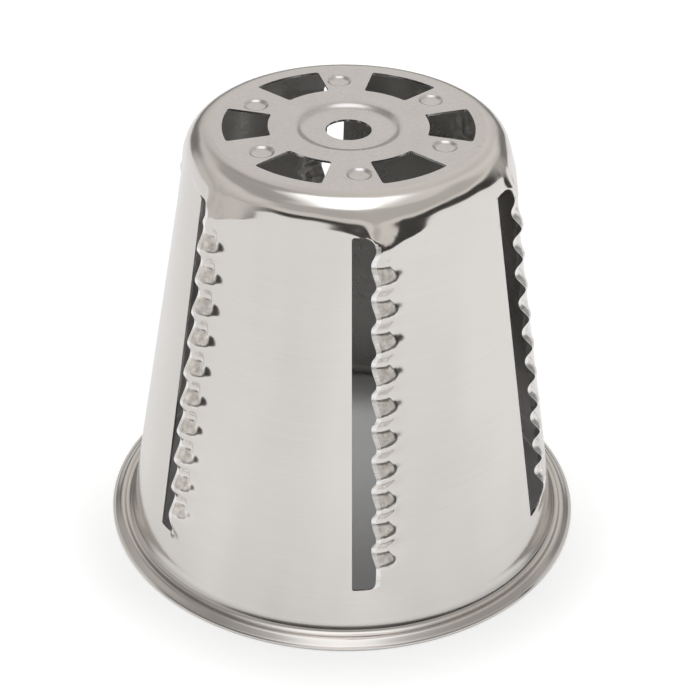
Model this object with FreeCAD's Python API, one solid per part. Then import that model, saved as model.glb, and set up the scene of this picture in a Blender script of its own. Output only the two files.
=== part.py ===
import FreeCAD, Part
import math
import os

# The cutting cone of a hand cranked vegetable cutter. It is one sheet of stainless steel, drawn to
# a cone, flanged at its wide end and pierced with six slots. One side of each slot is pressed
# outwards into a wavy blade. The sheet is divided here into the regions that its press tools form,
# and each region is a solid that meets its neighbours face to face.
#
# The origin is the middle of the plane that the flange stands on, +Z runs up the axis to the small
# driven end, and the front is -Y. Azimuths are counted from the front towards +X.
# Lengths are in millimetres and angles in degrees.

# Whole cone, measured on the outer skin of the sheet
height = 96.2
rim_radius = 54.0
sheet = 0.5
foot_reach = 4.7          # from the wall's line, at the base plane, out to the flange's edge
crown_radius = 32.8       # where the wall's line would meet the plane of the small end
shoulder_radius = 5.3
stations = 6              # slots, blades, windows and dimples round the cone

# Flange at the wide end
flare_radius = 1.4
valley_radius = 0.5
valley_level = 1.15       # outer skin, at its lowest point between the wall and the bead
bead_radius = 0.95
bead_rise_angle = 50.0
bead_fall_angle = 45.0
lip_corner_radius = 0.5

# Driven end
bore_radius = 4.76
hub_floor_radius = 9.0
hub_depth = 1.0
hub_bend_radius = 2.5
inner_web_width = 4.6
outer_web_width = 2.3
window_azimuth = 32.0
window_half_angle = 16.8
window_corner_radius = 0.6
dimple_azimuth = 6.0
dimple_radius = 3.0
dimple_depth = 0.6
dimple_bend_radius = 0.97

# Slots, measured across the wall from the radial plane through the middle of the first slot
slot_azimuth = 6.0
slot_straight_side = 2.6
slot_top_drop = 7.4       # from the small end's plane down to the slot
slot_bottom_level = 11.1
slot_corner_radius = 2.0

# Blades, measured the same way
blade_edge_side = 1.3     # the cutting edge at a valley
blade_root_side = 8.3     # where the blade runs out into the wall
edge_setback = 0.9        # how much further back the edge lies at a crest
flute_pitch = 7.0
flute_height = 1.4        # crest over valley, at the edge
flute_length = 6.0        # from the edge back to where the waves die out
flute_slant = 10.0        # the flutes climb towards the root
first_valley_drop = 4.9   # from the slot's top down to the first valley
last_crest_room = 6.0     # least height kept under the last crest
end_lift = 0.15           # valleys over the wall's surface, at the blade's ends
middle_lift = 1.05        # added half-way up the blade
top_blend = 3.2           # height over which the blade sinks back into the wall above

# How finely the blade's skins are sampled
rows_per_flute = 10
blade_columns = 13
slope_probe = 0.01        # half the distance over which a skin's slope is measured

axis = FreeCAD.Vector(0, 0, 1)
origin = FreeCAD.Vector(0, 0, 0)
clear_cut = 1.0           # how far a cutter runs past what it cuts
upright_limit = 0.001     # an upright edge covers no more than this, seen from above


def step_angle(depth, bend_radius):
    """Turn of each of the two equal bends that carry a flat sheet down by a depth."""
    return math.degrees(math.acos(1 - depth / (2 * bend_radius)))


def step_run(depth, bend_radius):
    """How far outwards those two bends reach."""
    return 2 * bend_radius * math.sin(math.radians(step_angle(depth, bend_radius)))


# Sizes that follow from the ones above
foot_radius = rim_radius - foot_reach
wall_lean = math.degrees(math.atan2(foot_radius - crown_radius, height))
shoulder_turn = 90.0 - wall_lean
flat_radius = crown_radius - shoulder_radius * math.tan(math.radians(shoulder_turn / 2))
hub_radius = hub_floor_radius + step_run(hub_depth, hub_bend_radius)
window_inner_radius = hub_radius + inner_web_width
window_outer_radius = flat_radius - outer_web_width
dimple_distance = (window_inner_radius + window_outer_radius) / 2
crest_side = blade_edge_side + edge_setback
slot_top_level = height - slot_top_drop
first_crest_level = slot_top_level - first_valley_drop + flute_pitch / 2
flute_room = first_crest_level - flute_pitch - last_crest_room - slot_bottom_level
flute_count = int(flute_room / flute_pitch) + 1
last_crest_level = first_crest_level - flute_count * flute_pitch
station_step = 360.0 / stations


def wall_radius(level):
    """Radius of the straight wall's outer skin at a level."""
    return foot_radius + (crown_radius - foot_radius) * level / height


def turned(shape, azimuth):
    """A copy of a shape that was drawn at the front, turned to its azimuth."""
    copy = shape.copy()
    copy.rotate(origin, axis, azimuth)
    return copy


def azimuth_past(first, solid):
    """How far round the axis a solid lies from a first azimuth, from 0 to 360."""
    middle = solid.CenterOfMass
    return (math.degrees(math.atan2(middle.x, -middle.y)) - first) % 360.0


def write(node, shape):
    """One STEP file for one node."""
    if not shape.isValid():
        raise ValueError(node + " is not a valid shape")
    shape.exportStep(os.path.join("parts", node + ".step"))
    print(node, len(shape.Solids), "solid,", round(shape.Volume, 2), "mm3")


class SheetProfile:
    """Half section of the sheet, drawn along its outer skin from the axis outwards."""

    def __init__(self, radius, level):
        self.point = FreeCAD.Vector(radius, 0, level)
        self.heading = 0.0
        self.start_region()

    def start_region(self):
        self.edges = []
        self.first_point = self.point
        self.first_inner = self.under(self.point, self.heading)

    def under(self, point, heading):
        """The point of the inner skin that lies under a point of the outer skin."""
        angle = math.radians(heading)
        return point + FreeCAD.Vector(math.sin(angle), 0, -math.cos(angle)) * sheet

    def straight(self, length):
        angle = math.radians(self.heading)
        end = self.point + FreeCAD.Vector(math.cos(angle), 0, math.sin(angle)) * length
        inner = [self.under(point, self.heading) for point in (self.point, end)]
        self.edges.append(Part.LineSegment(self.point, end).toShape())
        self.edges.append(Part.LineSegment(*inner).toShape())
        self.point = end

    def bend(self, radius, turn):
        """An arc of the outer skin. A positive turn bends the sheet up, a negative one down."""
        reach = math.copysign(radius, turn)
        headings = [self.heading, self.heading + turn / 2, self.heading + turn]
        spokes = [FreeCAD.Vector(math.sin(math.radians(h)), 0, -math.cos(math.radians(h))) * reach
                  for h in headings]
        centre = self.point - spokes[0]
        skin = [centre + spoke for spoke in spokes]
        inner = [self.under(point, heading) for point, heading in zip(skin, headings)]
        self.edges.append(Part.Arc(*skin).toShape())
        self.edges.append(Part.Arc(*inner).toShape())
        self.point = skin[-1]
        self.heading = headings[-1]

    def ring(self):
        """Closes the region drawn so far, spins it about the axis and starts the next one."""
        last_inner = self.under(self.point, self.heading)
        self.edges.append(Part.LineSegment(self.first_point, self.first_inner).toShape())
        self.edges.append(Part.LineSegment(self.point, last_inner).toShape())
        outline = Part.Wire(Part.__sortEdges__(self.edges))
        self.start_region()
        return Part.Face(outline).revolve(origin, axis, 360)


def draw_rings():
    """Every full ring of the cone, from the bore out to the lip."""
    rings = {}
    profile = SheetProfile(bore_radius, height - hub_depth)
    profile.straight(hub_floor_radius - bore_radius)
    profile.bend(hub_bend_radius, step_angle(hub_depth, hub_bend_radius))
    profile.bend(hub_bend_radius, -step_angle(hub_depth, hub_bend_radius))
    rings["drive_hub"] = profile.ring()
    profile.straight(flat_radius - hub_radius)
    rings["flat"] = profile.ring()
    profile.bend(shoulder_radius, -shoulder_turn)
    rings["shoulder"] = profile.ring()
    lean = math.radians(wall_lean)
    wall_end_level = valley_level + flare_radius * (1 - math.sin(lean))
    profile.straight((profile.point.z - wall_end_level) / math.cos(lean))
    rings["wall"] = profile.ring()
    profile.bend(flare_radius, shoulder_turn)
    rings["rim_flare"] = profile.ring()
    profile.bend(valley_radius, bead_rise_angle)
    profile.bend(bead_radius, -bead_rise_angle - bead_fall_angle)
    fall_angle = math.radians(bead_fall_angle)
    slope_drop = profile.point.z - sheet - lip_corner_radius * (1 - math.cos(fall_angle))
    profile.straight(slope_drop / math.sin(fall_angle))
    profile.bend(lip_corner_radius, bead_fall_angle)
    rings["rim_bead"] = profile.ring()
    profile.straight(rim_radius - profile.point.x)
    rings["rim_lip"] = profile.ring()
    return rings


def window():
    """A window's cutter at the front: radial sides, round ends and rounded corners."""
    half = math.radians(window_half_angle)
    level = height - sheet - clear_cut

    def at(radius, angle):
        return FreeCAD.Vector(radius * math.sin(angle), -radius * math.cos(angle), level)

    near = [at(window_inner_radius, angle) for angle in (-half, 0, half)]
    far = [at(window_outer_radius, angle) for angle in (half, 0, -half)]
    edges = [
        Part.Arc(*near).toShape(),
        Part.LineSegment(near[-1], far[0]).toShape(),
        Part.Arc(*far).toShape(),
        Part.LineSegment(far[-1], near[0]).toShape(),
    ]
    prism = Part.Face(Part.Wire(edges)).extrude(axis * (sheet + 2 * clear_cut))
    upright = [edge for edge in prism.Edges
               if edge.BoundBox.XLength + edge.BoundBox.YLength < upright_limit]
    return prism.makeFillet(window_corner_radius, upright)


def dimple():
    """The round pan that is pressed into the small end, at the front."""
    turn = step_angle(dimple_depth, dimple_bend_radius)
    pan = SheetProfile(0, height - dimple_depth)
    pan.straight(dimple_radius - step_run(dimple_depth, dimple_bend_radius))
    pan.bend(dimple_bend_radius, turn)
    pan.bend(dimple_bend_radius, -turn)
    solid = pan.ring()
    solid.translate(FreeCAD.Vector(0, -dimple_distance, 0))
    return solid


def dimpled(flat):
    """The flat small end with its dimples pressed in."""
    pan = dimple()
    seat = FreeCAD.Vector(0, -dimple_distance, height - sheet - clear_cut)
    hole = Part.makeCylinder(dimple_radius, sheet + 2 * clear_cut, seat)
    for k in range(stations):
        azimuth = dimple_azimuth + k * station_step
        flat = flat.cut(turned(hole, azimuth)).fuse(turned(pan, azimuth))
    return flat


def spokes(web):
    """The webs that the windows leave between them."""
    opening = window()
    for k in range(stations):
        web = web.cut(turned(opening, window_azimuth + k * station_step))
    first = dimple_azimuth - station_step / 2
    return sorted(web.Solids, key=lambda spoke: azimuth_past(first, spoke))


def tube(inner_radius, outer_radius):
    """Everything between two radii, at the height of the small end."""
    low = FreeCAD.Vector(0, 0, height - 2 * (sheet + clear_cut))
    depth = 4 * (sheet + clear_cut)
    return Part.makeCylinder(outer_radius, depth, low).cut(Part.makeCylinder(inner_radius, depth, low))


def slab(low, high):
    """Everything between two levels."""
    return Part.makeCylinder(2 * rim_radius, high - low, FreeCAD.Vector(0, 0, low))


def wall_panels(wall):
    """The wall between the slots: from each blade's root to the next slot's straight side."""
    block = Part.makeBox(slot_straight_side + blade_root_side, 2 * rim_radius, height,
                         FreeCAD.Vector(-slot_straight_side, -2 * rim_radius, 0))
    middle = wall.common(slab(slot_bottom_level, slot_top_level))
    for k in range(stations):
        middle = middle.cut(turned(block, slot_azimuth + k * station_step))
    return sorted(middle.Solids, key=lambda panel: azimuth_past(slot_azimuth, panel))


def ripple(level):
    """From 0 at a valley of the edge to 1 at a crest, and 0 past the foot of the last crest."""
    inside = last_crest_level - flute_pitch / 2 < level < first_crest_level + flute_pitch / 2
    phase = 2 * math.pi * (level - first_crest_level) / flute_pitch
    return (1 + math.cos(phase)) / 2 if inside else 0.0


def ease(share):
    """Rises smoothly from 0 to 1 as its share does, and stays at 0 and 1 outside."""
    share = min(max(share, 0.0), 1.0)
    return share * share * (3 - 2 * share)


def lift(back, level):
    """How far the blade's outer skin stands outside the straight wall, this far behind the edge."""
    share = (level - slot_bottom_level) / (slot_top_level - slot_bottom_level)
    climb = back * math.tan(math.radians(flute_slant))
    wave = flute_height * ripple(level - climb) * (1 - ease(back / flute_length))
    swell = end_lift + middle_lift * 4 * share * (1 - share)
    swell = swell * (1 - ease(back / (blade_root_side - crest_side)))
    top_fade = ease((slot_top_level - level) / top_blend)
    bottom_fade = ease((level - slot_bottom_level) / (last_crest_level - slot_bottom_level))
    return (wave + swell) * top_fade * bottom_fade


def edge_path():
    """The cutting edge from the slot's lower end to its top, as (side, level) pairs."""
    step = flute_pitch / rows_per_flute
    top_radius = slot_top_level - first_crest_level
    low_turns = max(round(slot_corner_radius * math.pi / 2 / step), 2)
    top_turns = max(round(top_radius * math.pi / 2 / step), 2)
    path = []
    for i in range(low_turns):
        angle = math.pi / 2 * i / low_turns
        path.append((crest_side - slot_corner_radius * (1 - math.sin(angle)),
                     slot_bottom_level + slot_corner_radius * (1 - math.cos(angle))))
    level = slot_bottom_level + slot_corner_radius
    rise = last_crest_level - level
    plain_steps = max(round(rise / step), 1)
    for i in range(plain_steps):
        path.append((crest_side, level + rise * i / plain_steps))
    for i in range(flute_count * rows_per_flute):
        level = last_crest_level + step * i
        path.append((blade_edge_side + edge_setback * ripple(level), level))
    for i in range(top_turns + 1):
        angle = math.pi / 2 * i / top_turns
        path.append((crest_side - top_radius * (1 - math.cos(angle)),
                     first_crest_level + top_radius * math.sin(angle)))
    return path


def skin_distance(side, level, edge):
    """Distance of the blade's outer skin from the axis, along the slot's middle plane."""
    return math.sqrt(wall_radius(level) ** 2 - side ** 2) + lift(side - edge, level)


def under_distance(side, level, edge):
    """The same for the inner skin, one sheet further in, measured square to the slope."""
    probe = slope_probe
    across = skin_distance(side + probe, level, edge) - skin_distance(side - probe, level, edge)
    along = skin_distance(side, level + probe, edge) - skin_distance(side, level - probe, edge)
    slope = math.hypot(across, along) / (2 * probe)
    return skin_distance(side, level, edge) - sheet * math.hypot(1, slope)


def smooth_surface(rows):
    """A surface through rows of points, with even parameters along and across the rows."""
    fits = []
    for coordinate in range(3):
        fit = Part.BSplineSurface()
        fit.interpolate([[point[coordinate] for point in row] for row in rows], 0, 1, 0, 1)
        fits.append(fit)
    pole_rows = [fit.getPoles() for fit in fits]
    poles = [[FreeCAD.Vector(*[pole.z for pole in same_place]) for same_place in zip(*same_row)]
             for same_row in zip(*pole_rows)]
    grid = fits[0]
    surface = Part.BSplineSurface()
    surface.buildFromPolesMultsKnots(poles, grid.getUMultiplicities(), grid.getVMultiplicities(),
                                     grid.getUKnots(), grid.getVKnots(), False, False,
                                     grid.UDegree, grid.VDegree)
    return surface


def blade():
    """The first slot's blade: a pressed strip from its cutting edge back to the wall."""
    skins = []
    for distance in (skin_distance, under_distance):
        rows = []
        for edge, level in edge_path():
            width = blade_root_side - edge
            sides = [edge + width * j / (blade_columns - 1) for j in range(blade_columns)]
            rows.append([FreeCAD.Vector(side, -distance(side, level, edge), level) for side in sides])
        skins.append(smooth_surface(rows))
    faces = [skin.toShape() for skin in skins]
    u_low, u_high, v_low, v_high = skins[0].bounds()
    for border in (lambda s: s.uIso(u_low), lambda s: s.uIso(u_high),
                   lambda s: s.vIso(v_low), lambda s: s.vIso(v_high)):
        faces.append(Part.makeRuledSurface(*[border(skin).toShape() for skin in skins]))
    shell = Part.makeShell(faces)
    shell.sewShape()
    return Part.makeSolid(shell)


os.makedirs("parts", exist_ok=True)

rings = draw_rings()
flat = dimpled(rings.pop("flat"))
wall = rings.pop("wall")
rings["inner_web_ring"] = flat.common(tube(hub_radius, window_inner_radius))
rings["outer_web_ring"] = flat.common(tube(window_outer_radius, flat_radius))
for node, ring in rings.items():
    write(node, ring)
web = flat.common(tube(window_inner_radius, window_outer_radius))
for number, spoke in enumerate(spokes(web), 1):
    write("spoke_%d" % number, spoke)
write("upper_wall_band", wall.common(slab(slot_top_level, height)))
write("lower_wall_band", wall.common(slab(0, slot_bottom_level)))
for number, panel in enumerate(wall_panels(wall), 1):
    write("wall_panel_%d" % number, panel)
front_blade = blade()
for k in range(stations):
    write("blade_%d" % (k + 1), turned(front_blade, slot_azimuth + k * station_step))
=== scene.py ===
# %% [markdown]
# This scene dresses the cutting cone of a hand cranked vegetable cutter. The real cone is one thin
# sheet of stainless steel: a press draws it to a cup, pierces six slots and six windows, and then
# raises one side of each slot into a wavy blade. The meshes here are made in the same order. A net
# of quads is laid over one sixth of the cup, with its holes left out. Node trees then press the
# blade and the dimple, repeat the station round the axis and give the sheet its thickness.

# %% Load the construction model
import math

import bmesh
import bpy
from mathutils import Matrix, Vector


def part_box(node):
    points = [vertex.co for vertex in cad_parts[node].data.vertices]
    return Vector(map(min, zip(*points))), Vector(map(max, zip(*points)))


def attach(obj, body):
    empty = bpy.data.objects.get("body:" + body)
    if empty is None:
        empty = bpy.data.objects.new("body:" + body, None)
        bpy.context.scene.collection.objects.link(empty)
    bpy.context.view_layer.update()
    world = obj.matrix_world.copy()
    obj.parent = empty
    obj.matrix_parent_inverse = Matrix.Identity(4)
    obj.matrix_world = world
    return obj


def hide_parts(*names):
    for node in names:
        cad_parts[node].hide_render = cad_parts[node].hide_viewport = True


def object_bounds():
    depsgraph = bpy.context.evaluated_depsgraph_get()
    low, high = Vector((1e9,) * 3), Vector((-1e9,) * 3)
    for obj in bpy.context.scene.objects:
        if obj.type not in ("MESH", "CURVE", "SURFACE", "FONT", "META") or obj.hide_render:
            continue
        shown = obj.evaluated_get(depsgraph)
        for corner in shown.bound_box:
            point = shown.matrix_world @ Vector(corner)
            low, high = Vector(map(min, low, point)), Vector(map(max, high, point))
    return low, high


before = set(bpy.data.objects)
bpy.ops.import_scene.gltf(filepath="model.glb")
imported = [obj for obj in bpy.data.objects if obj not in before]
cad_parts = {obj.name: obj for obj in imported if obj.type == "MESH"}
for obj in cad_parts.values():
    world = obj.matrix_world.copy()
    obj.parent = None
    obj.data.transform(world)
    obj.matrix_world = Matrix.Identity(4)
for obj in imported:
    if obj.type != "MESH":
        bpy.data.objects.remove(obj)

cad_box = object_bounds()
print("construction model:", len(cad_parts), "nodes, box", [tuple(c) for c in cad_box])

# %% [markdown]
# A pressed part is described by its outer skin and the thickness of its sheet. The overall sizes
# are read from the construction model, so that both models stay one object. The others can't be
# read from a box, so they are named here. The lifted sheet stands out over the slot's upper end,
# and the slot is raised by as much as that hides.

# %% Sizes of the whole cone, in metres
mm = 0.001
sheet = 0.5 * mm
stations = 6
station_step = math.tau / stations
first_station = math.radians(6)
height = cad_box[1].z
rim_radius = cad_box[1].y
foot_reach = 4.7 * mm
foot_radius = rim_radius - foot_reach
crown_radius = 32.8 * mm
shoulder_radius = 5.3 * mm
wall_lean = math.atan2(foot_radius - crown_radius, height)
shoulder_turn = math.pi / 2 - wall_lean
flat_radius = crown_radius - shoulder_radius * math.tan(shoulder_turn / 2)
slot_raise = 0.6 * mm
slot_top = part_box("upper_wall_band")[0].z + slot_raise
slot_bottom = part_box("lower_wall_band")[1].z
print("height %.1f mm, rim radius %.1f mm" % (height / mm, rim_radius / mm))
print("slots from %.1f to %.1f mm" % (slot_bottom / mm, slot_top / mm))

# %% [markdown]
# The half section of the sheet is a chain of straight lines and bends, as on a drawing for a press
# tool. A small class walks along it and notes a row of the net at each step. A curve object with a
# bevel could draw the same line, but the rows are needed as numbers when the slots are left out.


# %% A line drawn along the outer skin
class Outline:
    """The outer skin in half section, drawn outwards and down from the axis."""

    def __init__(self, radius, level, heading=0.0):
        self.radius = radius
        self.level = level
        self.heading = heading
        self.rows = [(radius, level)]

    def move_to(self, radius, level):
        self.radius = radius
        self.level = level
        self.rows.append((radius, level))

    def straight(self, length, steps):
        start = (self.radius, self.level)
        for step in range(1, steps + 1):
            run = length * step / steps
            self.move_to(start[0] + run * math.cos(self.heading),
                         start[1] + run * math.sin(self.heading))

    def bend(self, bend_radius, turn, steps):
        """An arc of the outer skin. A positive turn bends the sheet up, a negative one down."""
        reach = math.copysign(bend_radius, turn)
        middle = (self.radius - reach * math.sin(self.heading),
                  self.level + reach * math.cos(self.heading))
        first = self.heading
        for step in range(1, steps + 1):
            self.heading = first + turn * step / steps
            self.move_to(middle[0] + reach * math.sin(self.heading),
                         middle[1] - reach * math.cos(self.heading))


def wall_radius(level):
    """Radius of the straight wall's outer skin at a level."""
    return foot_radius + (crown_radius - foot_radius) * level / height


def step_angle(depth, bend_radius):
    """Turn of each of the two equal bends that carry a flat sheet down by a depth."""
    return math.acos(1 - depth / (2 * bend_radius))


def spread(first, last, steps):
    """Evenly spaced values from the first to the last, both included."""
    return [first + (last - first) * step / steps for step in range(steps + 1)]


# %% [markdown]
# The net is quads in rows and columns. Holes are cells that are simply not filled in, so their
# borders follow the net and stay clean, which a boolean cut would not give. The tools that pierce
# sheet have slightly rounded corners, so each hole's corner gets back a small piece with an arc.


# %% A net of quads with holes and rounded corners
def add_object(name, data):
    thing = bpy.data.objects.new(name, data)
    bpy.context.scene.collection.objects.link(thing)
    return thing


class Net:
    """Vertices in rows and columns, joined into quads except where a hole is left."""

    def __init__(self, points, numbers):
        """The numbers are functions of row and column, whose value each vertex keeps."""
        self.mesh = bmesh.new()
        layers = self.mesh.verts.layers.float
        for name in numbers:
            layers.new(name)
        self.layers = [(layers[name], value_of) for name, value_of in numbers.items()]
        self.grid = [[self.add(point, i, j) for j, point in enumerate(row)]
                     for i, row in enumerate(points)]

    def add(self, point, i, j):
        vertex = self.mesh.verts.new(point)
        for layer, value_of in self.layers:
            vertex[layer] = value_of(i, j)
        return vertex

    def fill(self, is_hole):
        for i in range(len(self.grid) - 1):
            for j in range(len(self.grid[0]) - 1):
                if not is_hole(i, j):
                    upper, lower = self.grid[i], self.grid[i + 1]
                    self.mesh.faces.new((upper[j], lower[j], lower[j + 1], upper[j + 1]))

    def round_corner(self, i, j, rows, columns, steps=6):
        """Fills the corner of a hole at one vertex, out to an arc that many cells away."""
        down = [self.grid[k][j] for k in range(i, i + rows, 1 if rows > 0 else -1)]
        across = [self.grid[i][k] for k in range(j, j + columns, 1 if columns > 0 else -1)]
        low_end = self.grid[i + rows][j]
        side_end = self.grid[i][j + columns]
        middle = low_end.co + side_end.co - self.grid[i][j].co
        arc = []
        for angle in spread(0, math.pi / 2, steps)[1:-1]:
            place = middle + (side_end.co - middle) * math.cos(angle)
            place += (low_end.co - middle) * math.sin(angle)
            arc.append(self.add(place, i, j))
        ring = down + [low_end] + arc[::-1] + [side_end] + across[:0:-1]
        if rows * columns < 0:
            ring.reverse()
        self.mesh.faces.new(ring)

    def finish(self, name):
        loose = [vertex for vertex in self.mesh.verts if not vertex.link_faces]
        bmesh.ops.delete(self.mesh, geom=loose, context="VERTS")
        mesh = bpy.data.meshes.new(name)
        self.mesh.to_mesh(mesh)
        self.mesh.free()
        return add_object(name, mesh)


# %% [markdown]
# Both geometry trees and material trees work with numbers that vary from place to place. Blender
# draws the sums on them as Math nodes. Written out one by one, the nodes hide the formula, so this
# small class lets plain arithmetic add them: with it, a + b puts an Add node in the tree.


# %% Arithmetic that adds nodes
class Field:
    """A number that a node tree works out for each point."""

    def __init__(self, socket):
        self.socket = socket

    def math(self, operation, *others):
        return calculate(self.socket.id_data, operation, self, *others)

    def __add__(self, other):
        return self.math("ADD", other)

    def __sub__(self, other):
        return self.math("SUBTRACT", other)

    def __mul__(self, other):
        return self.math("MULTIPLY", other)

    def __truediv__(self, other):
        return self.math("DIVIDE", other)

    def __rsub__(self, other):
        return calculate(self.socket.id_data, "SUBTRACT", other, self)

    def __neg__(self):
        return 0.0 - self

    def __abs__(self):
        return self.math("ABSOLUTE")

    __radd__ = __add__
    __rmul__ = __mul__


def plug(tree, value, socket):
    """Puts a field, a socket or a plain value into an input."""
    if isinstance(value, Field):
        value = value.socket
    if isinstance(value, bpy.types.NodeSocket):
        tree.links.new(value, socket)
    else:
        socket.default_value = value


def calculate(tree, operation, *values):
    node = tree.nodes.new("ShaderNodeMath")
    node.operation = operation
    for value, socket in zip(values, node.inputs):
        plug(tree, value, socket)
    return Field(node.outputs[0])


def limit(field, low, high):
    """The field, kept between two values."""
    return field.math("MAXIMUM", low).math("MINIMUM", high)


def ease(share):
    """Rises smoothly from 0 to 1 as its share does, and stays at 0 and 1 outside."""
    share = limit(share, 0.0, 1.0)
    return share * share * (3.0 - 2.0 * share)


def rise(field, start, width):
    """0 up to the start, 1 from one width past it, and smooth in between."""
    return ease((field - start) / width)


def fall(field, start, width):
    return 1.0 - rise(field, start, width)


def add_node(tree, kind, settings=(), **inputs):
    """One node with its settings and inputs. An input's name has _ for each space."""
    node = tree.nodes.new(kind)
    for name, value in dict(settings).items():
        setattr(node, name, value)
    for name, value in inputs.items():
        plug(tree, value, node.inputs[name.replace("_", " ")])
    return node


def result_of(tree, kind, settings=(), **inputs):
    """What comes out first of a node that is added in the same way."""
    return add_node(tree, kind, settings, **inputs).outputs[0]


def coordinates(tree, place):
    """The x, y and z of a place, as fields."""
    parts = add_node(tree, "ShaderNodeSeparateXYZ", Vector=place)
    return [Field(socket) for socket in parts.outputs]


def vector(tree, x, y, z):
    return result_of(tree, "ShaderNodeCombineXYZ", X=x, Y=y, Z=z)


def vector_math(tree, operation, first, second):
    """Arithmetic on vectors. To scale the first, the second is a plain number or a field."""
    node = add_node(tree, "ShaderNodeVectorMath", {"operation": operation})
    plug(tree, first, node.inputs[0])
    plug(tree, second, node.inputs["Scale" if operation == "SCALE" else 1])
    return node.outputs[0]


# %% [markdown]
# A geometry tree has named inputs, like the dials of a press. Each dial is a socket of the tree's
# interface, and the modifier keeps its value under the socket's identifier. The helpers below make
# a tree with its dials, and turn an object with such modifiers into a plain mesh.


# %% Geometry trees with named inputs
def geometry_tree(name, numbers, others=()):
    """A new tree and its input fields by name. Dials that aren't numbers come with a type."""
    tree = bpy.data.node_groups.new(name, "GeometryNodeTree")
    tree.interface.new_socket("Geometry", in_out="OUTPUT", socket_type="NodeSocketGeometry")
    tree.interface.new_socket("Geometry", in_out="INPUT", socket_type="NodeSocketGeometry")
    for label, kind in [*((label, "Float") for label in numbers), *others]:
        tree.interface.new_socket(label, in_out="INPUT", socket_type="NodeSocket" + kind)
    entry = tree.nodes.new("NodeGroupInput")
    fields = {socket.name: Field(socket) for socket in entry.outputs if socket.name}
    return tree, fields


def end_tree(tree, result, kind="NodeGroupOutput"):
    tree.links.new(result, tree.nodes.new(kind).inputs[0])


def store(tree, geometry, name, value, kind="FLOAT", domain="POINT"):
    """Keeps a value in the mesh under a name, for each vertex or each face."""
    return result_of(tree, "GeometryNodeStoreNamedAttribute",
                     {"data_type": kind, "domain": domain},
                     Geometry=geometry, Name=name, Value=value)


def stored(tree, name, kind="FLOAT"):
    """What the mesh keeps under a name."""
    return result_of(tree, "GeometryNodeInputNamedAttribute", {"data_type": kind}, Name=name)


def use_tree(piece, tree, values):
    """Adds the tree to an object and sets its dials by their names."""
    modifier = piece.modifiers.new(tree.name, "NODES")
    modifier.node_group = tree
    for item in tree.interface.items_tree:
        if item.in_out == "INPUT" and item.name in values:
            modifier[item.identifier] = values[item.name]


def make_plain(piece):
    """Replaces an object's mesh by what its modifiers make of it, and removes them."""
    graph = bpy.context.evaluated_depsgraph_get()
    mesh = bpy.data.meshes.new_from_object(piece.evaluated_get(graph))
    mesh.name = piece.name
    piece.modifiers.clear()
    piece.data = mesh


# %% [markdown]
# Pierced sheet shows its thickness at every hole. One tree serves all the pieces: it repeats the
# station round the axis, closes the seams, and then makes the inner skin and the borders. The
# Solidify modifier could thicken the sheet too, but it can't grind the cutting edges, which lose
# metal on the outside only. So the inner skin is placed first, and the outer one is ground after.

# %% Tree that repeats a station and thickens the sheet
sheet_tree, dial = geometry_tree(
    "sheet metal", ["First turn", "Step", "Thickness", "Grinding depth"],
    [("Copies", "Int"), ("Skin", "Material"), ("Inner skin", "Material"),
     ("Ground edge", "Material")])
weld_gap = 0.0001 * mm
bevel_share = 0.25


def sheet_step(kind, **inputs):
    return result_of(sheet_tree, "GeometryNode" + kind, **inputs)


one = sheet_step("GeometryToInstance", Geometry=dial["Geometry"])
many = add_node(sheet_tree, "GeometryNodeDuplicateElements", {"domain": "INSTANCE"},
                Geometry=one, Amount=dial["Copies"])
turn = dial["First turn"] + dial["Step"] * Field(many.outputs["Duplicate Index"])
placed = sheet_step("RotateInstances", Instances=many.outputs[0],
                    Rotation=vector(sheet_tree, 0.0, 0.0, turn))
real = sheet_step("RealizeInstances", Geometry=placed)
skin = sheet_step("MergeByDistance", Geometry=real, Distance=weld_gap)

normal = sheet_step("InputNormal")
inwards = vector_math(sheet_tree, "SCALE", normal, -dial["Thickness"])
under = vector_math(sheet_tree, "ADD", sheet_step("InputPosition"), inwards)
skin = store(sheet_tree, skin, "under", under, "FLOAT_VECTOR")
under_place = stored(sheet_tree, "under", "FLOAT_VECTOR")

# A number tells the faces apart: 1 on the ground bevel, -1 on the inner skin, 0 elsewhere.
ground = Field(stored(sheet_tree, "ground"))
grind = vector_math(sheet_tree, "SCALE", normal, -dial["Grinding depth"] * ground)
inner = sheet_step("SetPosition", Geometry=skin, Position=under_place)
inner = sheet_step("FlipFaces", Mesh=inner)
outer = sheet_step("SetPosition", Geometry=skin, Offset=grind)
outer = store(sheet_tree, outer, "bevel", ground.math("GREATER_THAN", bevel_share), domain="FACE")
inner = store(sheet_tree, inner, "bevel", -1.0, domain="FACE")

# An edge with fewer than two faces is a border. There the outer skin is drawn to the inner one.
faces_beside = Field(sheet_step("InputMeshEdgeNeighbors"))
walls = add_node(sheet_tree, "GeometryNodeExtrudeMesh", {"mode": "EDGES"}, Mesh=outer,
                 Selection=faces_beside.math("LESS_THAN", 1.5), Offset_Scale=0.0)
shell = sheet_step("SetPosition", Geometry=walls.outputs["Mesh"],
                   Selection=walls.outputs["Top"], Position=under_place)
both = add_node(sheet_tree, "GeometryNodeJoinGeometry")
for part in (shell, inner):
    sheet_tree.links.new(part, both.inputs[0])
closed = sheet_step("MergeByDistance", Geometry=both.outputs[0], Distance=weld_gap)
smooth = sheet_step("SetShadeSmooth", Geometry=closed)
finished = sheet_step("SetMaterial", Geometry=smooth, Material=dial["Skin"])
bevel = Field(stored(sheet_tree, "bevel"))
for selection, finish in ((bevel.math("GREATER_THAN", 0.5), "Ground edge"),
                          (bevel.math("LESS_THAN", -0.5), "Inner skin")):
    finished = sheet_step("SetMaterial", Geometry=finished, Selection=selection,
                          Material=dial[finish])
end_tree(sheet_tree, finished)
print("sheet metal tree:", len(sheet_tree.nodes), "nodes")

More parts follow.
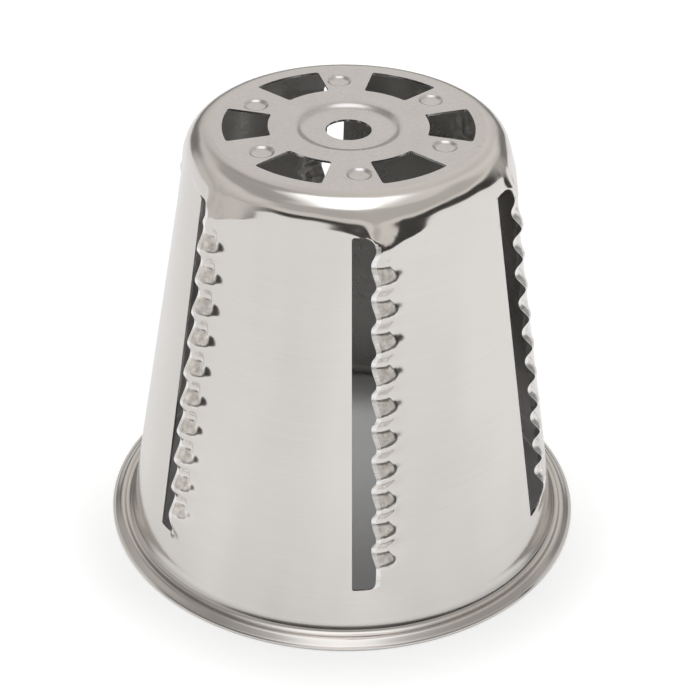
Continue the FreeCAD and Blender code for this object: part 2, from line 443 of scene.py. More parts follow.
# %% [markdown]
# Stainless steel has no colour of its own worth speaking of: what the eye reads is how sharply it
# mirrors the room. So each finish is a metal with its own roughness, and the marks of its making
# are laid into roughness, tone and bump. The wall was drawn and polished on a spindle, so its fine
# lines run round the cone, and the highlight is drawn out across them by the anisotropy.
# Two tones are painted highlights: the lighter up-facing flanks of the flutes, and the
# near-white tone of the ground edge steel.


# %% Steel finishes
bump_strength = 0.3


def steel(name, tone, roughness, anisotropy, build):
    """A metal material. Its build function adds the marks as tone, roughness and height."""
    material = bpy.data.materials.new(name)
    material.use_nodes = True
    tree = material.node_tree
    shader = tree.nodes["Principled BSDF"]
    where = tree.nodes.new("ShaderNodeTexCoord").outputs["Object"]
    x, y, z = coordinates(tree, where)
    shade, rough, bumps = build(tree, where, x, y, z)
    grey = result_of(tree, "ShaderNodeCombineColor", Red=shade, Green=shade, Blue=shade)
    colour = add_node(tree, "ShaderNodeMix", {"data_type": "RGBA", "blend_type": "MULTIPLY"},
                      Factor=1.0, A=(*tone, 1.0), B=grey)
    bump = result_of(tree, "ShaderNodeBump", Height=bumps, Distance=1.0 * mm,
                     Strength=bump_strength)
    for label, value in (("Metallic", 1.0), ("Anisotropic", anisotropy),
                         ("Tangent", vector(tree, -y, x, 0.0)), ("Normal", bump),
                         ("Base Color", colour.outputs["Result"]),
                         ("Roughness", rough + roughness)):
        plug(tree, value, shader.inputs[label])
    return material


def noise(tree, place, scale, detail=2.0, stretch=(1.0, 1.0, 1.0)):
    """Fractal noise round 0, from about -0.5 to 0.5, over a place that is stretched first."""
    stretched = vector_math(tree, "MULTIPLY", place, stretch)
    texture = result_of(tree, "ShaderNodeTexNoise", Vector=stretched, Scale=scale, Detail=detail)
    return Field(texture) - 0.5


def drawn_marks(tree, where, x, y, z):
    """Fine lines round the cone, with wide and weak cloudy patches under them.

    The shoulder is calmer and wavier, and its upper end takes the look of the flat end. On the
    up-facing flank of each flute the steel gets a random mottle and a painted highlight."""
    calm = rise(z, slot_top, 2.0 * mm)
    end = rise(z, height - 0.6 * mm, 0.5 * mm)
    lines = noise(tree, where, scale=900.0, detail=3.0, stretch=(0.05, 0.05, 6.0))
    lines = lines * (1.0 - calm * 0.8)
    bands = noise(tree, where, scale=42.0, stretch=(1.0, 1.0, 0.08))
    patches = noise(tree, where, scale=45.0)
    waves = noise(tree, where, scale=110.0, detail=1.0) * calm * (1.0 - end)
    # Up-facing flank of each flute: random mottle plus a painted highlight in tone.
    mark = add_node(tree, "ShaderNodeAttribute", {"attribute_name": "pressed"})
    pressed = rise(Field(mark.outputs["Fac"]), 0.0, 0.4)
    mottle = noise(tree, where, scale=800.0, detail=3.0) * pressed
    tone = 0.98 + lines * 0.10 + bands * 0.32 + patches * 0.08 + mottle * 1.2 + pressed * 0.10
    tone = tone * (1.0 - end * 0.24)
    rough = lines * 0.08 + pressed * 0.12 + end * 0.10 + patches * calm * 0.15
    return tone, rough, lines * 0.002 + mottle * 0.16 + waves * 0.6


def satin_marks(tree, where, x, y, z):
    """The grain of sheet that was pressed but not polished, with a few rubbed patches."""
    grain = noise(tree, where, scale=1500.0, detail=4.0)
    patches = noise(tree, where, scale=130.0, detail=5.0)
    specks = ease(noise(tree, where, scale=520.0, detail=1.0) * 14.0 - 3.2)
    rubs = noise(tree, where, scale=160.0, detail=3.0, stretch=(1.0, 0.12, 1.0))
    tone = 1.0 + grain * 0.22 + patches * 0.14 + rubs * 0.10 - specks * 0.16
    return tone, patches * 0.16 + grain * 0.10, grain * 0.014 + patches * 0.05 - specks * 0.02


def grinding_marks(tree, where, x, y, z):
    """Short scratches of the wheel that ground the cutting edges."""
    scratches = noise(tree, where, scale=1100.0, detail=3.0, stretch=(0.4, 0.4, 4.0))
    return 1.0 + scratches * 0.35, scratches * 0.3, scratches * 0.03


def spun_marks(tree, where, x, y, z):
    """Fine rings where the flange was spun over a roller, which fade into the wall's lines.

    The flange's steel is darker and rougher, and the matches undo that beside the wall."""
    tone_match = 1.39
    rough_match = 0.06
    radius = (x * x + y * y).math("SQRT")
    rings = noise(tree, vector(tree, radius, z, 0.0), scale=2200.0)
    patches = noise(tree, where, scale=160.0, detail=3.0)
    wall_tone, wall_rough, wall_height = drawn_marks(tree, where, x, y, z)
    up = rise(z, 1.9 * mm, 1.6 * mm)
    tone = 1.0 + rings * 0.10 + patches * 0.10
    tone = tone + up * (wall_tone * tone_match - tone)
    rough = rings * 0.06 + patches * 0.10
    rough = rough + up * (wall_rough - rough_match - rough)
    return tone, rough, rings * 0.004 * (1.0 - up) + wall_height * up


wall_steel = steel("brushed_wall_steel", (0.765, 0.735, 0.705), 0.14, 0.45, drawn_marks)
end_steel = steel("satin_end_steel", (0.57, 0.55, 0.54), 0.24, 0.0, satin_marks)
inner_steel = steel("dull_inner_steel", (0.50, 0.485, 0.465), 0.30, 0.0, satin_marks)
rim_steel = steel("polished_rim_steel", (0.550, 0.529, 0.507), 0.20, 0.45, spun_marks)
# Painted highlight: the near-white tone lights up the ground bevels and rounded slot borders.
ground_and_highlight_steel = steel("ground_edge_and_highlight_steel", (0.95, 0.94, 0.93), 0.32, 0.0, grinding_marks)
print("steel finishes:", [material.name for material in bpy.data.materials])

# %% [markdown]
# Smooth shading works out a normal at each vertex from the faces round it. At the seam between two
# pieces it only sees half of them, and polished metal shows even half a degree as a line. The rule
# at such a seam is known, because the sheet there is still a plain turned shape, so the normals on
# it are set by that rule after the mesh is made. The raw cut borders get a narrow round too, which
# catches the light as a real sheared edge does. On the walls it also takes the near-white ground
# edge steel, which paints a highlight along it.

# %% Borders and seam normals
SIDE_SEAM, FLAT_SEAM, FOOT_SEAM = 1.0, 2.0, 3.0
border_angle = math.radians(50)
sharp_angle = math.radians(42)


def soften_borders(piece, width, finish=None):
    """Rounds the sharp borders of holes and lips, but no seam and no ground edge.

    The round may have a finish of its own, which paints a highlight along it."""
    shape = bmesh.new()
    shape.from_mesh(piece.data)
    bmesh.ops.recalc_face_normals(shape, faces=shape.faces)
    seam = shape.verts.layers.float.get("seam")
    ground = shape.verts.layers.float.get("ground")

    def may_round(edge):
        if len(edge.link_faces) != 2 or edge.calc_face_angle() < border_angle:
            return False
        on_seam = seam and all(vertex[seam] > 0.5 for vertex in edge.verts)
        on_edge = ground and any(vertex[ground] > 0.0 for vertex in edge.verts)
        return not on_seam and not on_edge

    borders = [edge for edge in shape.edges if may_round(edge)]
    rounded = bmesh.ops.bevel(shape, geom=borders, offset=width, segments=2, profile=0.5,
                              affect="EDGES", clamp_overlap=True)
    if finish:
        for face in rounded["faces"]:
            face.material_index = piece.data.materials.find(finish.name)
    shape.to_mesh(piece.data)
    shape.free()


def turned_normal(normal, place, seam):
    """The normal that a seam should have, or the one it has where the rule doesn't apply."""
    outwards = Vector((place.x, place.y, 0.0)).normalized()
    around = Vector((-outwards.y, outwards.x, 0.0))
    if seam == SIDE_SEAM:
        return normal if abs(normal.dot(around)) > 0.5 else normal - around * normal.dot(around)
    rule = Vector((0.0, 0.0, 1.0))
    if seam == FOOT_SEAM:
        rule = outwards * math.cos(wall_lean) + rule * math.sin(wall_lean)
    return rule * math.copysign(1.0, normal.dot(rule)) if abs(normal.dot(rule)) > 0.7 else normal


def settle_normals(piece):
    """Keeps real corners sharp and gives the vertices on seams their true normals."""
    mesh = piece.data
    mesh.set_sharp_from_angle(angle=sharp_angle)
    finish_of = {}
    for face in mesh.polygons:
        for edge in face.edge_keys:
            finish_of.setdefault(edge, set()).add(face.material_index)
    for edge in mesh.edges:
        if len(finish_of[edge.key]) > 1:
            edge.use_edge_sharp = True
    normals = [corner.vector.copy() for corner in mesh.corner_normals]
    seams = mesh.attributes["seam"].data
    for corner in mesh.loops:
        seam = round(seams[corner.vertex_index].value)
        if seam:
            place = mesh.vertices[corner.vertex_index].co
            normals[corner.index] = turned_normal(normals[corner.index], place, seam).normalized()
    mesh.normals_split_custom_set(normals)


def form_sheet(piece, finishes, round_width, copies=stations, turn=first_station,
               grinding_depth=0.0, round_finish=None):
    """Makes finished sheet metal of a net. The finishes are for the skin, inside and bevel."""
    use_tree(piece, sheet_tree, {
        "Copies": copies, "First turn": turn, "Step": station_step, "Thickness": sheet,
        "Grinding depth": grinding_depth, "Skin": finishes[0], "Inner skin": finishes[1],
        "Ground edge": finishes[2]})
    make_plain(piece)
    soften_borders(piece, round_width, round_finish)
    settle_normals(piece)
    print(piece.name, sum(len(face.vertices) - 2 for face in piece.data.polygons), "triangles")


# %% [markdown]
# The driven end is flat sheet with a dished middle and a round bore, and six windows with radial
# sides. The net for one station runs from the middle of one window to the middle of the next, so
# that the seams fall inside windows wherever they can. Rows and columns lie on the windows' sides.

# %% Sizes of the driven end
bore_radius = 4.76 * mm
hub_floor_radius = 8.4 * mm
hub_depth = 1.1 * mm
hub_bend_radius = 3.2 * mm
window_inner_radius = 16.6 * mm
window_outer_radius = 26.03 * mm
window_corner = 0.6 * mm
window_azimuth = math.radians(32) - first_station
window_half_angle = math.radians(16.8)
dimple_radius = 3.0 * mm
dimple_depth = 0.55 * mm
dimple_bend_radius = 1.1 * mm
dimple_distance = (window_inner_radius + window_outer_radius) / 2

# %% Net of one station of the end
end_line = Outline(bore_radius, height - hub_depth)
end_line.straight(hub_floor_radius - bore_radius, steps=8)
end_line.bend(hub_bend_radius, step_angle(hub_depth, hub_bend_radius), steps=8)
end_line.bend(hub_bend_radius, -step_angle(hub_depth, hub_bend_radius), steps=8)
end_line.straight(window_inner_radius - end_line.radius, steps=10)
top_row = len(end_line.rows) - 1
end_line.straight(window_corner, steps=1)
end_line.straight(window_outer_radius - window_inner_radius - 2 * window_corner, steps=38)
end_line.straight(window_corner, steps=1)
low_row = len(end_line.rows) - 1
end_line.straight(flat_radius - window_outer_radius, steps=6)

half_step = station_step / 2
spoke_low = window_azimuth - station_step + window_half_angle
spoke_high = window_azimuth - window_half_angle
inner_corner_angle = window_corner / window_inner_radius
outer_corner_angle = window_corner / window_outer_radius
azimuths = spread(-half_step, spoke_low - inner_corner_angle, 8)
azimuths.append(spoke_low - outer_corner_angle)
low_column = len(azimuths)
azimuths += spread(spoke_low, spoke_high, 44)
high_column = len(azimuths) - 1
azimuths.append(spoke_high + outer_corner_angle)
azimuths += spread(spoke_high + inner_corner_angle, half_step, 14)


def turned_points(line, azimuths):
    """The points of a turned shape. Azimuths are measured from the front, seen from above."""
    return [[(radius * math.sin(azimuth), -radius * math.cos(azimuth), level)
             for azimuth in azimuths] for radius, level in line.rows]


last_row = len(end_line.rows) - 1
end_net = Net(turned_points(end_line, azimuths),
              {"seam": lambda i, j: FLAT_SEAM if i == last_row else 0.0})
end_net.fill(lambda i, j: top_row <= i < low_row and not low_column <= j < high_column)
end_net.round_corner(top_row, low_column, 1, -2)
end_net.round_corner(top_row, high_column, 1, 2)
end_net.round_corner(low_row, low_column, -1, -1)
end_net.round_corner(low_row, high_column, -1, 1)
driven_end = end_net.finish("driven_end")
print("driven end station:", len(driven_end.data.polygons), "faces")

# %% [markdown]
# Each spoke has a small round pan pressed into it, between the two bends of the tool. Its depth
# only depends on the distance from its middle, so a tree can press it: one sum of two arcs gives
# the floor, both bends and the untouched sheet without any test.

# %% Tree that presses the dimple
dimple_values = {
    "Distance": dimple_distance, "Radius": dimple_radius, "Depth": dimple_depth,
    "Bend radius": dimple_bend_radius,
    "Bend run": 2 * dimple_bend_radius * math.sin(step_angle(dimple_depth, dimple_bend_radius))}
dimple_tree, dial = geometry_tree("press dimple", dimple_values)
x, y, z = coordinates(dimple_tree, result_of(dimple_tree, "GeometryNodeInputPosition"))
off = y + dial["Distance"]
from_middle = (x * x + off * off).math("SQRT")


def arc_rise(run):
    """How far an arc of the bend radius has risen after a run, up to half the step."""
    run = limit(run, 0.0, dial["Bend run"] * 0.5)
    bend = dial["Bend radius"]
    return bend - (bend * bend - run * run).math("SQRT")


floor_radius = dial["Radius"] - dial["Bend run"]
sink = dial["Depth"] * 0.5 - arc_rise(from_middle - floor_radius)
sink = sink + arc_rise(dial["Radius"] - from_middle)
pressed = result_of(dimple_tree, "GeometryNodeSetPosition", Geometry=dial["Geometry"],
                    Offset=vector(dimple_tree, 0.0, 0.0, -sink))
end_tree(dimple_tree, pressed)

use_tree(driven_end, dimple_tree, dimple_values)
form_sheet(driven_end, (end_steel, inner_steel, end_steel), round_width=0.08 * mm)

# %% [markdown]
# The flange is a turned shape: a bend out of the wall, a small bead that stiffens it, a slope and
# a flat lip. It could be spun with a Screw modifier. Here it uses the same net and the same tree
# as the other pieces, so its seams and its thickness match theirs.

# %% Flange
soft_flare_radius = 9.0 * mm
soft_flare_turn = math.radians(17)
flare_radius = 1.3 * mm
valley_radius = 0.8 * mm
valley_level = 1.15 * mm
bead_radius = 1.1 * mm
bead_rise = math.radians(35)
bead_fall = math.radians(38)
lip_corner_radius = 0.4 * mm
tight_turn = shoulder_turn - soft_flare_turn
wall_end = valley_level + flare_radius * (1 - math.cos(tight_turn))
wall_end += soft_flare_radius * (math.cos(tight_turn) - math.cos(shoulder_turn))

rim_line = Outline(wall_radius(wall_end), wall_end, -shoulder_turn)
rim_line.bend(soft_flare_radius, soft_flare_turn, steps=8)
rim_line.bend(flare_radius, tight_turn, steps=12)
rim_line.bend(valley_radius, bead_rise, steps=8)
rim_line.bend(bead_radius, -bead_rise - bead_fall, steps=16)
slope_drop = rim_line.level - sheet - lip_corner_radius * (1 - math.cos(bead_fall))
rim_line.straight(slope_drop / math.sin(bead_fall), steps=2)
rim_line.bend(lip_corner_radius, bead_fall, steps=8)
print("flat lip: %.2f mm wide" % ((rim_radius - rim_line.radius) / mm))
rim_line.straight(rim_radius - rim_line.radius, steps=3)

rim_azimuths = spread(-half_step, half_step, 60)
rim_net = Net(turned_points(rim_line, rim_azimuths),
              {"seam": lambda i, j: FOOT_SEAM if i == 0 else 0.0})
rim_net.fill(lambda i, j: False)
flange = rim_net.finish("flange")
form_sheet(flange, (rim_steel, rim_steel, rim_steel), round_width=0.10 * mm)

# %% [markdown]
# The cutting edge is what the whole object is for. Seen from the front it is a row of shallow
# scallops: points that reach into the slot at the valleys, and hollows at the crests. The net's
# columns follow this edge, so the wave needs no cut. Its rows are taken from the edge too, with
# about twenty to each wave.

# %% Sizes of the slots and blades
slot_side = -2.6 * mm
slot_corner_radius = 2.0 * mm
slot_sharp_corner = 0.5 * mm
valley_side = (1.07 * mm, 1.52 * mm)
edge_setback = 0.9 * mm
blade_root = 8.3 * mm
flute_pitch = 7.0 * mm
flute_height = 1.4 * mm
flute_count = 10
first_crest = slot_top - 2.0 * mm
last_crest = first_crest - flute_count * flute_pitch
rows_per_flute = 20
corner_steps = 9
grinding_width = 1.25 * mm
touch = 0.001 * mm
slot_left_column = 22
slot_columns = 5
slot_right_column = slot_left_column + slot_columns + 1


def scallop(level):
    """From 0 at a valley of the edge to 1 at a crest, and 1 past the first and last crests."""
    level = min(max(level, last_crest), first_crest)
    return (1 + math.cos(math.tau * (level - first_crest) / flute_pitch)) / 2


def edge_side(level):
    """How far the edge stands from the slot's middle plane. It leans a little along the slot."""
    share = (slot_top - level) / (slot_top - slot_bottom)
    lean = valley_side[0] + (valley_side[1] - valley_side[0]) * share
    return lean + edge_setback * scallop(level)


def edge_path():
    """The cutting edge from the slot's top to its lower end, as (side, level) pairs."""
    path = []
    arch_radius = slot_top - first_crest
    for angle in spread(math.pi / 2, 0, corner_steps):
        path.append((edge_side(first_crest) - arch_radius * (1 - math.cos(angle)),
                     first_crest + arch_radius * math.sin(angle)))
    corner_level = slot_bottom + slot_corner_radius
    steps = round((first_crest - corner_level) / flute_pitch * rows_per_flute)
    for level in spread(first_crest, corner_level, steps)[1:]:
        path.append((edge_side(level), level))
    for angle in spread(0, math.pi / 2, corner_steps)[1:]:
        path.append((edge_side(corner_level) - slot_corner_radius * (1 - math.cos(angle)),
                     corner_level - slot_corner_radius * math.sin(angle)))
    return path


# %% Rows and columns of one station of the wall
wall_line = Outline(flat_radius, height)
wall_line.bend(shoulder_radius, -shoulder_turn, steps=20)
edge = edge_path()
rows = [(radius, level, edge[0][0]) for radius, level in wall_line.rows]
for level in spread(wall_line.level, slot_top, 9)[1:-1]:
    rows.append((wall_radius(level), level, edge[0][0]))
slot_first_row = len(rows)
rows += [(wall_radius(level), level, side) for side, level in edge]
slot_last_row = len(rows) - 1
for level in spread(slot_bottom, wall_end, 16)[1:]:
    rows.append((wall_radius(level), level, edge[-1][0]))


def columns_of(radius, edge_at):
    """Where the net's columns cross a row, measured sideways from the slot's middle plane."""
    left = spread(-half_step, math.asin(slot_side / radius), slot_left_column)
    right = spread(math.asin(blade_root / radius), half_step, 18)
    sides = [radius * math.sin(azimuth) for azimuth in left]
    sides += spread(slot_side + slot_sharp_corner, edge_at, slot_columns)
    sides += spread(edge_at, edge_at + grinding_width, 4)[1:]
    sides += spread(edge_at + grinding_width, blade_root, 20)[1:]
    return sides + [radius * math.sin(azimuth) for azimuth in right[1:]]


sides = [columns_of(radius, edge_at) for radius, level, edge_at in rows]
print("wall net:", len(rows), "rows of", len(sides[0]), "columns")


# %% Net of one station of the wall
def seam_of(i, j):
    if i in (0, len(rows) - 1):
        return FLAT_SEAM if i == 0 else FOOT_SEAM
    return SIDE_SEAM if j in (0, len(sides[0]) - 1) else 0.0


def behind_edge(i, j):
    """How far a vertex lies behind the line of the edge. In front of it the number is negative."""
    level = min(max(rows[i][1], slot_bottom + slot_corner_radius), first_crest)
    return sides[i][j] - edge_side(level)


def ground_share(i, j):
    """How much of the grinding depth a vertex loses: 1 on the edge, 0 behind the bevel."""
    behind = sides[i][j] - rows[i][2]
    level = rows[i][1]
    if not -touch < behind < grinding_width or not slot_bottom < level < slot_top:
        return 0.0
    from_ends = min(level - slot_bottom, slot_top - level) / slot_corner_radius
    return (1 - behind / grinding_width) * min(1.0, from_ends)


def rows_above(level):
    """How many rows of the net lie above a level."""
    return sum(row[1] > level for row in rows)


def wall_station(name):
    net = Net([[(side, -math.sqrt(row[0] ** 2 - side ** 2), row[1]) for side in line]
               for row, line in zip(rows, sides)],
              {"seam": seam_of, "behind_edge": behind_edge, "ground": ground_share})
    net.fill(lambda i, j: (slot_first_row <= i < slot_last_row
                           and slot_left_column <= j < slot_right_column))
    net.round_corner(slot_first_row, slot_left_column,
                     rows_above(slot_top - slot_sharp_corner) - slot_first_row, 1)
    net.round_corner(slot_last_row, slot_left_column,
                     rows_above(slot_bottom + slot_sharp_corner) - slot_last_row, 1)
    return net.finish(name)


# %% [markdown]
# The press raises the sheet behind the edge: a low swell along the whole blade, and on it a row of
# flutes that die out towards the wall. The tree works out how far each vertex of the net is lifted
# from its level and its distance behind the edge. A displacement texture could do this too, but a
# formula keeps the flutes exactly in step with the scallops of the edge.

# %% Dials of the press, and the shares that stay the same
blade_values = {
    "Flute pitch": flute_pitch, "Flute height": flute_height, "Flute length": 7.0 * mm,
    "Cup length": 3.4 * mm, "Cup end": 1.4 * mm, "Tail share": 0.19, "Tail length": 3.2 * mm,
    "Flute slant": math.tan(math.radians(3)), "First crest": first_crest,
    "Last crest": last_crest, "Slot top": slot_top, "Slot bottom": slot_bottom,
    "End lift": 0.3 * mm, "Middle lift": 0.85 * mm, "Swell width": 6.4 * mm,
    "Fold top": height - 2.1 * mm, "Fold reach": 1.8 * mm, "Pull height": 1.35 * mm,
    "Pull flat": 6.0 * mm, "Pull reach": 14.2 * mm, "Pull drop": 18.0 * mm,
    "Crinkle height": 0.34 * mm, "Crinkle reach": 6.5 * mm}
ridge_flat = 0.28
edge_gain = 0.25
edge_gain_reach = 1.6 * mm
first_crest_loss = 0.55
fade_below_slot = 2.2 * mm
fold_widening = 0.3
crease_drop = 0.5 * mm
climb_behind = 0.28
climb_ahead = 0.30
slope_power = 1.2
over_slot_blend = 3.6 * mm
over_slot_offset = 0.65
over_slot_reach = 10.5 * mm
pull_loss = 0.25
pull_loss_blend = 5.0 * mm
pull_loss_offset = 0.6
crinkle_scale = 300.0
crinkle_stretch = (1.8, 100.0, 0.6)
crinkle_narrowing = 0.6
crinkle_drop = 0.8 * mm
crinkle_blend = 1.5 * mm

# %% Tree that presses the blade
blade_tree, dial = geometry_tree("press blade", [*blade_values, "Station"])
x, y, z = coordinates(blade_tree, result_of(blade_tree, "GeometryNodeInputPosition"))
behind = Field(stored(blade_tree, "behind_edge"))
back = behind.math("MAXIMUM", 0.0)
ahead = (-behind).math("MAXIMUM", 0.0)
fold_top = dial["Fold top"]

# Flutes: ridges that run out slowly behind the edge, and cups between them that end abruptly
# with a weak tail. Past its first and last crests the edge stays up.
level = limit(z + back * dial["Flute slant"], dial["Last crest"], dial["First crest"])
phase = (level - dial["First crest"]) / dial["Flute pitch"]
ripple = ((phase * math.tau).math("COSINE") + 1.0) * 0.5
ridge = fall(back, dial["Flute length"] * ridge_flat, dial["Flute length"] * (1.0 - ridge_flat))
cup_end = fall(back, dial["Cup length"], dial["Cup end"])
tail_end = fall(back - dial["Cup length"], dial["Cup end"], dial["Tail length"])
cup = cup_end * (1.0 - dial["Tail share"]) + tail_end * dial["Tail share"]
wave = dial["Flute height"] * (ridge - (1.0 - ripple) * cup)
wave = wave * (1.0 + edge_gain * fall(back, 0.0, edge_gain_reach))
rising = limit((phase * math.tau).math("SINE"), 0.0, 1.0) * cup_end

# Swell: the whole blade stands a little proud of the wall, most of all at half height.
climb = (z - dial["Slot bottom"]) / (dial["Slot top"] - dial["Slot bottom"])
climb = limit(climb, 0.0, 1.0)
swell = dial["End lift"] + dial["Middle lift"] * climb * (1.0 - climb) * 4.0
swell = swell * fall(back, 0.0, dial["Swell width"])

# Fold: above the first crest the lifted sheet runs back into the shoulder. Below the last one it
# runs out into the wall.
top_fade = fall(z, dial["First crest"], fold_top - dial["First crest"])
fade_end = dial["Slot bottom"] - fade_below_slot
bottom_fade = rise(z, fade_end, dial["Last crest"] - fade_end)
above_crest = z - dial["First crest"]
fold = fall(ahead, 0.0, dial["Fold reach"] + above_crest.math("MAXIMUM", 0.0) * fold_widening)
half_flute = dial["Flute pitch"] * 0.5
first_less = 1.0 - first_crest_loss * rise(above_crest, -half_flute, half_flute)
lift = (wave * first_less + swell) * top_fade * bottom_fade * fold

# Pull: the fold draws the wall beside it outwards, up to a crease that climbs away from it.
crease = dial["First crest"] - crease_drop + back * climb_behind + ahead * climb_ahead
slope = limit((fold_top - z) / (fold_top - crease), 0.0, 1.0).math("POWER", slope_power)
pull = slope * ease((z - crease) / dial["Pull drop"] + 1.0)
pull = pull * fall(back, dial["Pull flat"], dial["Pull reach"] - dial["Pull flat"])
over_slot = ease((z - dial["Slot top"]) / over_slot_blend + over_slot_offset)
pull = pull * fall(ahead, 0.0, dial["Fold reach"] + over_slot * over_slot_reach)
pull = pull * (1.0 - pull_loss * ease(behind / pull_loss_blend + pull_loss_offset))
pull = pull * dial["Pull height"]

# Crinkles: small dents round the fold, different at each station.
spot = vector(blade_tree, x, dial["Station"], z)
crinkle = noise(blade_tree, spot, crinkle_scale, stretch=crinkle_stretch)
near = fall(abs(z - dial["Slot top"]), 0.0, dial["Crinkle reach"])
near = near * fall(abs(behind) * crinkle_narrowing, 0.0, dial["Crinkle reach"])
near = near * fall(z, fold_top - crinkle_drop, crinkle_blend)
lift = lift + pull + crinkle * near * dial["Crinkle height"]
raised = result_of(blade_tree, "GeometryNodeSetPosition", Geometry=dial["Geometry"],
                   Offset=vector(blade_tree, 0.0, -lift, 0.0))
# Marks each flute's up-facing flank, where the wall steel paints a highlight.
end_tree(blade_tree, store(blade_tree, raised, "pressed", rising * fold * bottom_fade))
print("press blade tree:", len(blade_tree.nodes), "nodes")

# %% Wall and blade of each station
walls = []
for k in range(stations):
    piece = wall_station("wall_and_blade_%d" % (k + 1))
    use_tree(piece, blade_tree, {**blade_values, "Station": float(k)})
    # The rounded slot borders take the near-white edge steel, a painted highlight.
    form_sheet(piece, (wall_steel, inner_steel, ground_and_highlight_steel), round_width=0.15 * mm, copies=1,
               turn=first_station + k * station_step, grinding_depth=0.42 * mm,
               round_finish=ground_and_highlight_steel)
    walls.append(piece)

# %% [markdown]
# Every piece rides on the one body of the construction model and stands for the regions of the
# sheet that it shows.

# %% Bodies and replaced nodes
numbers = range(1, stations + 1)
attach(driven_end, "root")
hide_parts("drive_hub", "inner_web_ring", "outer_web_ring",
            *["spoke_%d" % k for k in numbers])
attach(flange, "root")
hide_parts("rim_flare", "rim_bead", "rim_lip")
for k, piece in zip(numbers, walls):
    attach(piece, "root")
    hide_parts("shoulder", "upper_wall_band", "lower_wall_band", "wall_panel_%d" % k,
                "blade_%d" % k)

# %% [markdown]
# The cone stands on a white table in soft light from all round. Polished metal is only as good
# as what it mirrors, so there are no lamps but a studio: the white table, a room that is dark low
# in front and at the back, and a wide soft box overhead for the shoulder and the rim.

# %% Levels of light
table_size = 6.0
table_colour = (0.86, 0.86, 0.86, 1.0)
table_level = 0.34
table_mirror_level = 0.11
# Glow of the painted patch of light on the floor under the cone.
painted_inside_light_level = 0.17
painted_inside_mirror_light = 0.06
# Reach of the painted shadow on the table beside the rim.
shade_reach = 20.0 * mm
room_radius = 1.1
room_height = 2.2
room_foot = 0.02
room_colour = (1.0, 0.97, 0.93, 1.0)
room_level = 0.8
pale_level = 0.9
low_back_level = 0.21
box_height = 1.6
box_half = (0.65, 0.72)
box_middle = -0.38
box_level = 0.75
box_gain = 1.05


# %% Table and background
def stage_material(name):
    """A new material, its empty tree, and the x, y and z in it."""
    material = bpy.data.materials.new(name)
    material.use_nodes = True
    tree = material.node_tree
    tree.nodes.clear()
    where = tree.nodes.new("ShaderNodeTexCoord").outputs["Object"]
    return material, tree, where, coordinates(tree, where)


def seen_directly(tree):
    """Whether a camera, mirror or glass sees the place, and whether a mirror does: 1 or 0."""
    rays = tree.nodes.new("ShaderNodeLightPath")
    camera, mirror, glass = [Field(rays.outputs["Is %s Ray" % kind])
                             for kind in ("Camera", "Glossy", "Transmission")]
    return limit(camera + mirror + glass, 0.0, 1.0), mirror


def table_material(name):
    """A matt surface with a little light of its own, where the camera or the metal sees it.

    Its glow carries a painted shadow in front beside the rim. Under the cone it is dimmer, with a
    painted patch of light in the middle towards the back."""
    material, tree, where, (x, y, z) = stage_material(name)
    seen, mirrored = seen_directly(tree)
    direct = 1.0 - mirrored
    radius = (x * x + y * y).math("SQRT")
    outside = calculate(tree, "GREATER_THAN", radius, rim_radius)
    # Painted shadow: the table's glow is weaker in front beside the rim.
    shade = fall(radius, rim_radius, shade_reach) * fall(y / rim_radius, -0.75, 1.25)
    level = table_level * direct * (1.0 - shade * 0.45) + table_mirror_level * mirrored
    # Painted light: a patch of glow on the floor under the cone, in the middle towards the back.
    far_side = fall(y, 30.0 * mm, 14.0 * mm) * rise(y, -50.0 * mm, 80.0 * mm)
    middle = fall(abs(x), 12.0 * mm, 12.0 * mm)
    inside = far_side * (middle * painted_inside_light_level * direct + painted_inside_mirror_light * mirrored)
    lit = seen * (outside * level + (1.0 - outside) * inside)
    matt = result_of(tree, "ShaderNodeBsdfDiffuse", Color=table_colour)
    both = add_node(tree, "ShaderNodeAddShader")
    tree.links.new(matt, both.inputs[0])
    tree.links.new(result_of(tree, "ShaderNodeEmission", Strength=lit), both.inputs[1])
    end_tree(tree, both.outputs[0], "ShaderNodeOutputMaterial")
    return material


def stage_mesh(name, points, faces, material):
    mesh = bpy.data.meshes.new(name)
    mesh.from_pydata(points, [], faces)
    mesh.materials.append(material)
    thing = add_object(name, mesh)
    return thing


corners = [(-1, -1), (1, -1), (1, 1), (-1, 1)]
stage_mesh("table", [(x * table_size, y * table_size, 0.0) for x, y in corners],
           [(0, 1, 2, 3)], table_material("white_table"))

world = bpy.data.worlds.new("studio")
bpy.context.scene.world = world
world.use_nodes = True
background = world.node_tree.nodes["Background"]
background.inputs["Color"].default_value = (1.0, 1.0, 1.0, 1.0)
seen = seen_directly(world.node_tree)[0]
plug(world.node_tree, room_level + seen * (1.0 - room_level), background.inputs["Strength"])


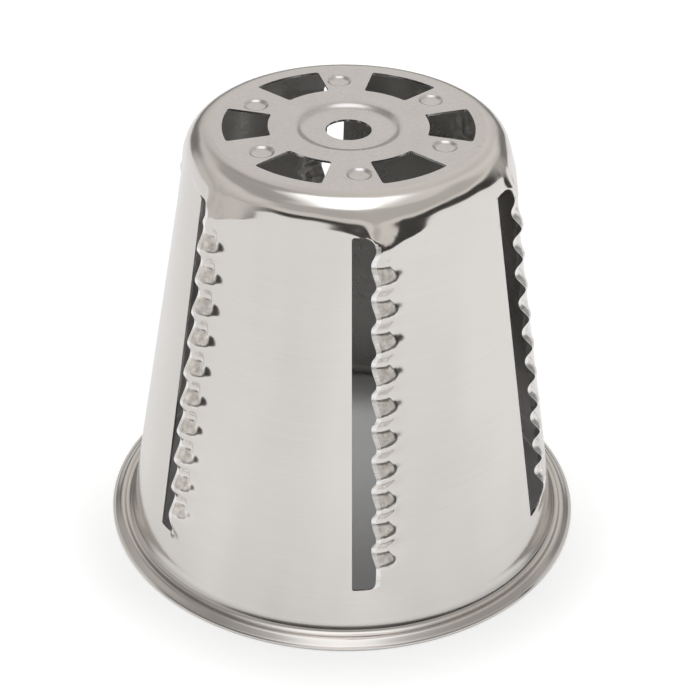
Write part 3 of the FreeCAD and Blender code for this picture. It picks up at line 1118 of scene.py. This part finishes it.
# %% Room and soft box that only the metal sees
def room_material(name):
    """What stands round the cone. Its edges are broken by a slow noise."""
    material, tree, where, (x, y, z) = stage_material(name)
    shapes = noise(tree, where, scale=3.0, stretch=(1.0, 1.0, 2.0))
    tall = z + shapes * 0.16
    right = rise(x / room_radius, 0.125, 0.625)
    left = rise(-x / room_radius, 0.0625, 0.625)

    # In front, from the floor up: dim, dark, pale, grey, and a bright patch before the ceiling.
    front = 0.20 - 0.15 * rise(tall, 0.04, 0.05)
    front = front + 0.67 * rise(tall - right * 0.13, 0.27, 0.05)
    front = front - 0.22 * rise(tall, 0.55, 0.12)
    patch = rise(z, 1.50, 0.25) * fall(abs(x), 0.25, 0.35) * fall(z, 2.0, 0.15)
    front = front + 0.20 * rise(z, 1.30, 0.25) + 0.80 * patch

    # The sides are grey, and the left one is paler at the foot and darker at the top.
    side = 0.50 + 0.22 * rise(z, 0.28, 0.40) + shapes * 0.10
    side = side + left * (0.16 - 0.16 * rise(z, 0.28, 0.12) - 0.30 * rise(z, 0.78, 0.25))
    facing = ease((x * 0.53 - y * 0.85) / room_radius * 2.6 + 0.32)
    strength = side + facing * (front - side)

    # The back is dark at the foot and pale above it.
    low_back = fall(z + right * 0.14, 0.42, 0.15) * rise(y / room_radius, 0.56, 0.16)
    strength = strength + low_back * (low_back_level - strength)
    backwards = rise(y / room_radius, 0.85, 0.12) * rise(z, 0.20, 0.15)
    strength = strength + backwards * (pale_level - strength)
    glow = result_of(tree, "ShaderNodeEmission", Strength=strength, Color=room_colour)
    end_tree(tree, glow, "ShaderNodeOutputMaterial")
    return material


room_steps = 96
room_points = [(room_radius * math.sin(azimuth), -room_radius * math.cos(azimuth), level)
               for azimuth in spread(0, math.tau, room_steps)[:-1]
               for level in (room_foot, room_height)]
room_faces = [(2 * k, (2 * k + 2) % len(room_points), (2 * k + 3) % len(room_points), 2 * k + 1)
              for k in range(room_steps)]
room_faces.append(tuple(range(1, len(room_points), 2)))
room = stage_mesh("room", room_points, room_faces, room_material("room"))
room.visible_diffuse = False

box_material, box_tree, where, (x, y, z) = stage_material("soft_box")
middle = fall(abs(x), 0.25, 0.40)
box_strength = box_level + middle * fall(y, 0.25, 0.35) * box_gain
end_tree(box_tree, result_of(box_tree, "ShaderNodeEmission", Strength=box_strength),
         "ShaderNodeOutputMaterial")
soft_box = stage_mesh("soft_box", [(x * box_half[0], y * box_half[1] + box_middle, box_height)
                                   for x, y in corners], [(3, 2, 1, 0)], box_material)
for card in (room, soft_box):
    card.visible_camera = False
    card.visible_shadow = False

# %% [markdown]
# The camera is matched to the photograph: it looks down on the front from a little above the cone,
# through a long lens. Its place is given by its height and distance and by the point it looks at.

# %% Camera
camera_elevation = math.radians(35.32)
camera_distance = 395.0 * mm
aim_level = 27.0 * mm
camera_roll = 0.01716
camera_yaw = -0.00346
sensor = 36.0
picture_width = 700
focal_pixels = 1730.6
lowered_pixels = 50.0

forward = Vector((0.0, math.cos(camera_elevation), -math.sin(camera_elevation)))
right = Vector((1.0, 0.0, 0.0))
up = right.cross(forward)
eye = Vector((0.0, 0.0, aim_level)) - forward * camera_distance
right, forward = (right * math.cos(camera_yaw) + forward * math.sin(camera_yaw),
                  forward * math.cos(camera_yaw) - right * math.sin(camera_yaw))
right, up = (right * math.cos(camera_roll) + up * math.sin(camera_roll),
             up * math.cos(camera_roll) - right * math.sin(camera_roll))
lens = bpy.data.cameras.new("camera")
lens.sensor_width = sensor
lens.lens = focal_pixels / picture_width * sensor
lens.shift_y = lowered_pixels / picture_width
lens.clip_start = 10 * mm
camera = add_object("camera", lens)
camera.matrix_world = Matrix((right, up, -forward)).transposed().to_4x4()
camera.location = eye
bpy.context.scene.camera = camera
bpy.context.scene.view_settings.view_transform = "Standard"
